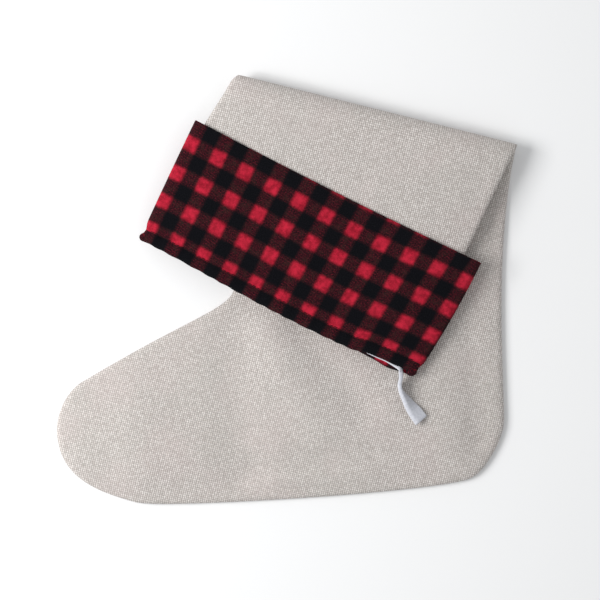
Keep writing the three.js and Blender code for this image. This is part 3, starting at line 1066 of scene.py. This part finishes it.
def thread_material():
    """Nearly black sewing thread with a fine uneven twist; in the rows along the mouth its near-black also
    stands in as painted shade of the groove.
    """
    nodes = Nodes("thread")
    twist = nodes.noise(nodes.vector(*nodes.cut()), 2200, 2, 0.6)
    colour = nodes.mix(nodes.ramp(twist, 0.35, 0.7), (0.003, 0.002, 0.003, 1), (0.012, 0.005, 0.007, 1))
    nodes.link(colour, nodes.shader.inputs["Base Color"])
    nodes.bump(twist, 0.08 * MM, 0.6)
    nodes.shader.inputs["Roughness"].default_value = 0.7
    nodes.shader.inputs["Specular IOR Level"].default_value = 0.15
    return nodes.material


def ribbon_material():
    """White woven ribbon: fine cross ribs and a slight sheen."""
    nodes = Nodes("ribbon")
    x, y = nodes.cut()
    here = nodes.vector(x, y)
    ribs = nodes.math("SINE", nodes.math("MULTIPLY", y, math.tau / (0.42 * MM)))
    warp = nodes.math("SINE", nodes.math("MULTIPLY", x, math.tau / (0.36 * MM)))
    height = nodes.math("MULTIPLY_ADD", warp, 0.4, ribs)
    half = RIBBON_WIDTH / 2
    edge = nodes.ramp(nodes.math("ABSOLUTE", x), half - 0.8 * MM, half - 0.5 * MM)
    tone = nodes.ramp(nodes.noise(here, 700, 2, 0.5), 0.3, 0.7)
    colour = nodes.mix(tone, (0.58, 0.59, 0.65, 1), (0.68, 0.69, 0.74, 1))
    colour = nodes.mix(nodes.math("MULTIPLY", edge, 0.35), colour, (0.82, 0.82, 0.85, 1))
    nodes.link(colour, nodes.shader.inputs["Base Color"])
    nodes.bump(height, 0.04 * MM, 0.5)
    nodes.shader.inputs["Roughness"].default_value = 0.6
    nodes.shader.inputs["Specular IOR Level"].default_value = 0.3
    return nodes.material


# ---------------------------------------------------------------- stage


def make_floor():
    """A plain pale floor, a hair below the stocking."""
    bpy.ops.mesh.primitive_plane_add(size=6, location=(0, 0, -0.05 * MM))
    floor = bpy.context.object
    floor.name = "floor"
    paint = bpy.data.materials.new("floor")
    paint.use_nodes = True
    shader = paint.node_tree.nodes["Principled BSDF"]
    shader.inputs["Base Color"].default_value = (0.92, 0.92, 0.92, 1)
    shader.inputs["Roughness"].default_value = 0.9
    shader.inputs["Specular IOR Level"].default_value = 0.1
    floor.data.materials.append(paint)


def make_light():
    """Soft studio light: a large lamp on the toe's side, and an even pale surrounding."""
    key = bpy.data.lights.new("key", "AREA")
    key.size = 0.62
    key.energy = 13.6
    lamp = bpy.data.objects.new("key", key)
    lamp.location = (-0.90, 0.06, 0.86)
    lamp.rotation_euler = (Vector((0, 0, 0)) - lamp.location).to_track_quat("-Z", "Y").to_euler()
    bpy.context.scene.collection.objects.link(lamp)

    world = bpy.data.worlds.new("studio")
    world.use_nodes = True
    background = world.node_tree.nodes["Background"]
    background.inputs["Color"].default_value = (0.97, 0.985, 1.0, 1)
    background.inputs["Strength"].default_value = 0.54
    bpy.context.scene.world = world
    bpy.context.scene.view_settings.view_transform = "Standard"


# ---------------------------------------------------------------- build

# The colours of linen: its light threads, its dark slubs, and the painted shade in the gaps between
# threads.
PANEL_TONES = [(0.875, 0.828, 0.790, 1), (0.60, 0.555, 0.522, 1), (0.31, 0.278, 0.258, 1)]
# The seam allowances' tones: a darker copy of the same linen, painted shade for the plies inside the bag.
SHADED_SEAM_TONES = [(0.66, 0.61, 0.56, 1), (0.48, 0.43, 0.39, 1), (0.34, 0.30, 0.27, 1)]

make_camera()
MATERIALS = {
    "linen": linen_material("linen", *PANEL_TONES),
    "seam": linen_material("linen_seam", *SHADED_SEAM_TONES),
    "flannel": flannel_material(),
    "thread": thread_material(),
    "ribbon": ribbon_material(),
}
MOUTH = mouth_frame()
SEWN, OUTLINE, PATTERN, TRIANGLES = make_pattern()
linen_panel("front")
linen_panel("back")
side_seams()
cuff_half("flannel_cuff_back", "cuff_back", 1)
cuff_half("flannel_cuff_front", "cuff_front", -1)
cuff_side_seam("cuff_seam_toe_side", "cuff_toe_side_seam", False)
cuff_side_seam("cuff_seam_heel_side", "cuff_heel_side_seam", True)
stitch_rows_and_groove_shade("mouth_stitches_and_groove_shade_back", "mouth_topstitch_back", 1)
stitch_rows_and_groove_shade("mouth_stitches_and_groove_shade_front", "mouth_topstitch_front", -1)
hanging_ribbon()
bar_tack()
make_floor()
make_light()
